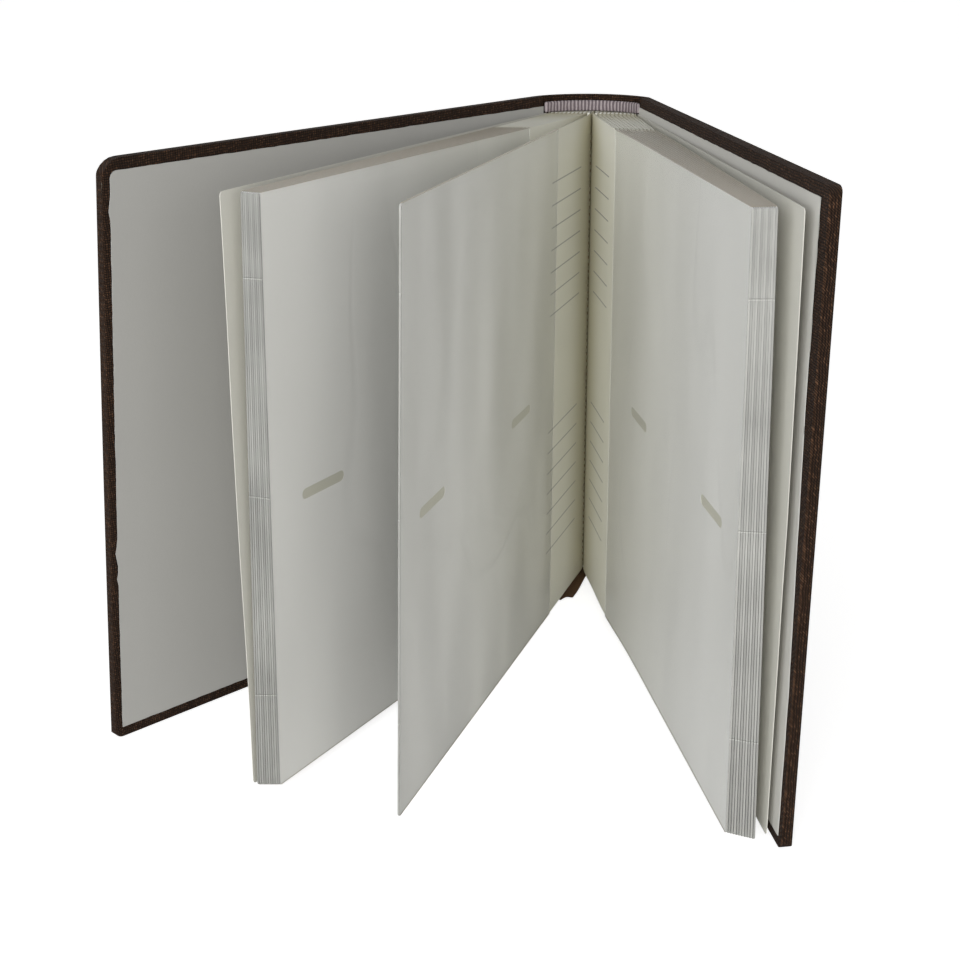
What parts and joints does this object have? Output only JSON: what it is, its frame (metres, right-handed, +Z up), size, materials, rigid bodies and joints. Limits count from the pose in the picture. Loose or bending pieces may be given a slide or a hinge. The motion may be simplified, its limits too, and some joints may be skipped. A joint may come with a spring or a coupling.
{
  "type": "photo album",
  "caption": "Cloth-bound photo album with a rounded spine, hinged covers and card leaves in clear film sleeves, standing open on its edges.",
  "frame": {"origin": "middle of the spine wall at its foot, on the surface that the album stands on", "axes": "+X across the spine from the front cover to the back cover, -Y the way that the album opens, +Z up along the spine"},
  "size_m": [0.2595, 0.2402, 0.225],
  "materials": {
    "cloth": "dark brown woven book cloth, matt",
    "board": "grey-brown binder's board",
    "paper": "off-white endpaper, matt",
    "guards": "cream paper guards, matt",
    "card": "olive-cream card, matt",
    "film": "clear glossy polypropylene film",
    "band": "pink and white striped cotton band"
  },
  "bodies": {
    "spine": {"spine_board": "board", "spine_cloth": "cloth", "spine_lining": "paper", "guard_block": "guards", "head_band": "band", "tail_band": "band"},
    "front_flyleaf": {"front_flyleaf": "paper"},
    "front_cover": {"front_cloth": "cloth", "front_board": "board", "front_pastedown": "paper"},
    "back_flyleaf": {"back_flyleaf": "paper"},
    "back_cover": {"back_cloth": "cloth", "back_board": "board", "back_pastedown": "paper"},
    "leaf_01": {"leaf_01": "card", "sleeve_01": "film"},
    "leaf_02": {"leaf_02": "card", "sleeve_02": "film"},
    "leaf_03": {"leaf_03": "card", "sleeve_03": "film"},
    "leaf_04": {"leaf_04": "card", "sleeve_04": "film"},
    "leaf_05": {"leaf_05": "card", "sleeve_05": "film"},
    "leaf_06": {"leaf_06": "card", "sleeve_06": "film"},
    "leaf_07": {"leaf_07": "card", "sleeve_07": "film"},
    "leaf_08": {"leaf_08": "card", "sleeve_08": "film"},
    "leaf_09": {"leaf_09": "card", "sleeve_09": "film"},
    "leaf_10": {"leaf_10": "card", "sleeve_10": "film"},
    "leaf_11": {"leaf_11": "card", "sleeve_11": "film"},
    "leaf_12": {"leaf_12": "card", "sleeve_12": "film"},
    "leaf_13": {"leaf_13": "card", "sleeve_13": "film"},
    "leaf_14": {"leaf_14": "card", "sleeve_14": "film"},
    "leaf_15": {"leaf_15": "card", "sleeve_15": "film"},
    "leaf_16": {"leaf_16": "card", "sleeve_16": "film"},
    "leaf_17": {"leaf_17": "card", "sleeve_17": "film"},
    "leaf_18": {"leaf_18": "card", "sleeve_18": "film"},
    "leaf_19": {"leaf_19": "card", "sleeve_19": "film"},
    "leaf_20": {"leaf_20": "card", "sleeve_20": "film"},
    "leaf_21": {"leaf_21": "card", "sleeve_21": "film"},
    "leaf_22": {"leaf_22": "card", "sleeve_22": "film"}
  },
  "joints": [
    {"name": "front_fan", "type": "hinge", "parent": "spine", "child": "front_flyleaf", "pos_m": [-0.0238, -0.01007, 0], "axis": [0, 0, -1], "range_deg": [-22.1, 40.3]},
    {"name": "front_cover_hinge", "type": "hinge", "parent": "front_flyleaf", "child": "front_cover", "pos_m": [-0.0238, -0.01007, 0], "axis": [0, 0, -1], "range_deg": [-10.8, 60.8]},
    {"name": "back_fan", "type": "hinge", "parent": "spine", "child": "back_flyleaf", "pos_m": [0.0238, -0.01007, 0], "axis": [0, 0, 1], "range_deg": [-19.8, 42.9]},
    {"name": "back_cover_hinge", "type": "hinge", "parent": "back_flyleaf", "child": "back_cover", "pos_m": [0.0238, -0.01007, 0], "axis": [0, 0, 1], "range_deg": [-0.5, 74.5]},
    {"name": "leaf_01_hinge", "type": "hinge", "parent": "spine", "child": "leaf_01", "pos_m": [-0.01837, -0.01565, 0], "axis": [0, 0, -1], "range_deg": [-22.37, 40.78]},
    {"name": "leaf_02_hinge", "type": "hinge", "parent": "spine", "child": "leaf_02", "pos_m": [-0.01663, -0.01565, 0], "axis": [0, 0, -1], "range_deg": [-22.27, 40.61]},
    {"name": "leaf_03_hinge", "type": "hinge", "parent": "spine", "child": "leaf_03", "pos_m": [-0.01487, -0.01565, 0], "axis": [0, 0, -1], "range_deg": [-22.18, 40.43]},
    {"name": "leaf_04_hinge", "type": "hinge", "parent": "spine", "child": "leaf_04", "pos_m": [-0.01312, -0.01565, 0], "axis": [0, 0, -1], "range_deg": [-22.08, 40.26]},
    {"name": "leaf_05_hinge", "type": "hinge", "parent": "spine", "child": "leaf_05", "pos_m": [-0.01137, -0.01565, 0], "axis": [0, 0, -1], "range_deg": [-21.99, 40.09]},
    {"name": "leaf_06_hinge", "type": "hinge", "parent": "spine", "child": "leaf_06", "pos_m": [-0.00962, -0.01565, 0], "axis": [0, 0, -1], "range_deg": [-21.89, 39.91]},
    {"name": "leaf_07_hinge", "type": "hinge", "parent": "spine", "child": "leaf_07", "pos_m": [-0.00788, -0.01565, 0], "axis": [0, 0, -1], "range_deg": [-21.8, 39.74]},
    {"name": "leaf_08_hinge", "type": "hinge", "parent": "spine", "child": "leaf_08", "pos_m": [-0.00613, -0.01565, 0], "axis": [0, 0, -1], "range_deg": [-21.7, 39.56]},
    {"name": "leaf_09_hinge", "type": "hinge", "parent": "spine", "child": "leaf_09", "pos_m": [-0.00438, -0.01565, 0], "axis": [0, 0, -1], "range_deg": [-21.61, 39.39]},
    {"name": "leaf_10_hinge", "type": "hinge", "parent": "spine", "child": "leaf_10", "pos_m": [-0.00263, -0.01565, 0], "axis": [0, 0, -1], "range_deg": [-21.51, 39.22]},
    {"name": "leaf_11_hinge", "type": "hinge", "parent": "spine", "child": "leaf_11", "pos_m": [-0.00088, -0.01565, 0], "axis": [0, 0, -1], "range_deg": [-9.41, 17.15]},
    {"name": "leaf_12_hinge", "type": "hinge", "parent": "spine", "child": "leaf_12", "pos_m": [0.00088, -0.01565, 0], "axis": [0, 0, 1], "range_deg": [-18.11, 39.23]},
    {"name": "leaf_13_hinge", "type": "hinge", "parent": "spine", "child": "leaf_13", "pos_m": [0.00263, -0.01565, 0], "axis": [0, 0, 1], "range_deg": [-18.2, 39.41]},
    {"name": "leaf_14_hinge", "type": "hinge", "parent": "spine", "child": "leaf_14", "pos_m": [0.00438, -0.01565, 0], "axis": [0, 0, 1], "range_deg": [-18.28, 39.6]},
    {"name": "leaf_15_hinge", "type": "hinge", "parent": "spine", "child": "leaf_15", "pos_m": [0.00613, -0.01565, 0], "axis": [0, 0, 1], "range_deg": [-18.37, 39.79]},
    {"name": "leaf_16_hinge", "type": "hinge", "parent": "spine", "child": "leaf_16", "pos_m": [0.00788, -0.01565, 0], "axis": [0, 0, 1], "range_deg": [-18.46, 39.98]},
    {"name": "leaf_17_hinge", "type": "hinge", "parent": "spine", "child": "leaf_17", "pos_m": [0.00962, -0.01565, 0], "axis": [0, 0, 1], "range_deg": [-18.54, 40.16]},
    {"name": "leaf_18_hinge", "type": "hinge", "parent": "spine", "child": "leaf_18", "pos_m": [0.01137, -0.01565, 0], "axis": [0, 0, 1], "range_deg": [-18.63, 40.35]},
    {"name": "leaf_19_hinge", "type": "hinge", "parent": "spine", "child": "leaf_19", "pos_m": [0.01312, -0.01565, 0], "axis": [0, 0, 1], "range_deg": [-18.71, 40.54]},
    {"name": "leaf_20_hinge", "type": "hinge", "parent": "spine", "child": "leaf_20", "pos_m": [0.01487, -0.01565, 0], "axis": [0, 0, 1], "range_deg": [-18.8, 40.73]},
    {"name": "leaf_21_hinge", "type": "hinge", "parent": "spine", "child": "leaf_21", "pos_m": [0.01663, -0.01565, 0], "axis": [0, 0, 1], "range_deg": [-18.89, 40.91]},
    {"name": "leaf_22_hinge", "type": "hinge", "parent": "spine", "child": "leaf_22", "pos_m": [0.01837, -0.01565, 0], "axis": [0, 0, 1], "range_deg": [-18.98, 41.1]}
  ],
  "couplings": [
    {"joint": "leaf_01_hinge", "follows": "front_fan", "ratio": 1.0117},
    {"joint": "leaf_02_hinge", "follows": "front_fan", "ratio": 1.0074},
    {"joint": "leaf_03_hinge", "follows": "front_fan", "ratio": 1.0031},
    {"joint": "leaf_04_hinge", "follows": "front_fan", "ratio": 0.99875},
    {"joint": "leaf_05_hinge", "follows": "front_fan", "ratio": 0.99443},
    {"joint": "leaf_06_hinge", "follows": "front_fan", "ratio": 0.99011},
    {"joint": "leaf_07_hinge", "follows": "front_fan", "ratio": 0.9858},
    {"joint": "leaf_08_hinge", "follows": "front_fan", "ratio": 0.98148},
    {"joint": "leaf_09_hinge", "follows": "front_fan", "ratio": 0.97717},
    {"joint": "leaf_10_hinge", "follows": "front_fan", "ratio": 0.97285},
    {"joint": "leaf_11_hinge", "follows": "front_fan", "ratio": 0.42534},
    {"joint": "leaf_12_hinge", "follows": "back_fan", "ratio": 0.91414},
    {"joint": "leaf_13_hinge", "follows": "back_fan", "ratio": 0.91851},
    {"joint": "leaf_14_hinge", "follows": "back_fan", "ratio": 0.92287},
    {"joint": "leaf_15_hinge", "follows": "back_fan", "ratio": 0.92724},
    {"joint": "leaf_16_hinge", "follows": "back_fan", "ratio": 0.93161},
    {"joint": "leaf_17_hinge", "follows": "back_fan", "ratio": 0.93597},
    {"joint": "leaf_18_hinge", "follows": "back_fan", "ratio": 0.94034},
    {"joint": "leaf_19_hinge", "follows": "back_fan", "ratio": 0.94471},
    {"joint": "leaf_20_hinge", "follows": "back_fan", "ratio": 0.94908},
    {"joint": "leaf_21_hinge", "follows": "back_fan", "ratio": 0.95344},
    {"joint": "leaf_22_hinge", "follows": "back_fan", "ratio": 0.95781}
  ]
}
